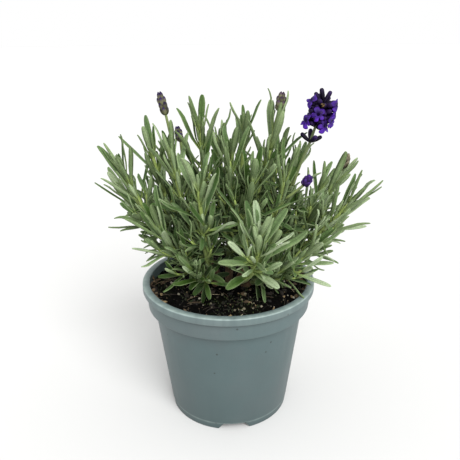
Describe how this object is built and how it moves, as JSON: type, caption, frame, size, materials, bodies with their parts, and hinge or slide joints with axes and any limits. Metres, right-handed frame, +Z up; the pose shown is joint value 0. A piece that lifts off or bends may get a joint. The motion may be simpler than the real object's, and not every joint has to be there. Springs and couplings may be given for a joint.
{
  "type": "potted lavender",
  "caption": "Young lavender plant in a round plastic nursery pot, with leafy grey-green shoots, an open violet flower spike and closed bud spikes.",
  "frame": {"origin": "centre of the pot's foot, on the ground it stands on", "axes": "+Z up, along the pot's axis; -Y towards the front, where the lowest front shoot hangs over the rim; +X to the right, the side of the flower spike"},
  "size_m": [0.2043, 0.1441, 0.2459],
  "materials": {
    "pot": "satin",
    "compost": "matte",
    "bark": "matte",
    "leaf": "matte",
    "stalk": "matte",
    "calyx": "matte",
    "corolla": "matte",
    "bud": "matte"
  },
  "bodies": {
    "root": {"bud_inner_right": "bud", "bud_inner_right_stalk": "stalk", "bud_left_short": "bud", "bud_left_short_stalk": "stalk", "bud_left_tall": "bud", "bud_left_tall_stalk": "stalk", "bud_right_side": "bud", "bud_right_side_stalk": "stalk", "bud_right_tall": "bud", "bud_right_tall_stalk": "stalk", "compost": "compost", "crown": "bark", "flower_spike": "calyx", "flower_stalk": "stalk", "open_flower_1": "corolla", "open_flower_10": "corolla", "open_flower_2": "corolla", "open_flower_3": "corolla", "open_flower_4": "corolla", "open_flower_5": "corolla", "open_flower_6": "corolla", "open_flower_7": "corolla", "open_flower_8": "corolla", "open_flower_9": "corolla", "pot": "pot", "shoot_back_left": "leaf", "shoot_back_middle": "leaf", "shoot_back_right": "leaf", "shoot_centre": "leaf", "shoot_centre_front": "leaf", "shoot_far_back_left": "leaf", "shoot_far_back_right": "leaf", "shoot_far_left": "leaf", "shoot_far_right": "leaf", "shoot_front_centre": "leaf", "shoot_front_left": "leaf", "shoot_front_low": "leaf", "shoot_front_right_low": "leaf", "shoot_left_high": "leaf", "shoot_left_inner": "leaf", "shoot_left_long": "leaf", "shoot_left_low": "leaf", "shoot_right_high": "leaf", "shoot_right_inner": "leaf", "shoot_right_long": "leaf", "shoot_right_low": "leaf", "shoot_right_upper": "leaf", "shoot_top_left": "leaf", "shoot_top_middle": "leaf", "shoot_top_right": "leaf"}
  },
  "joints": []
}
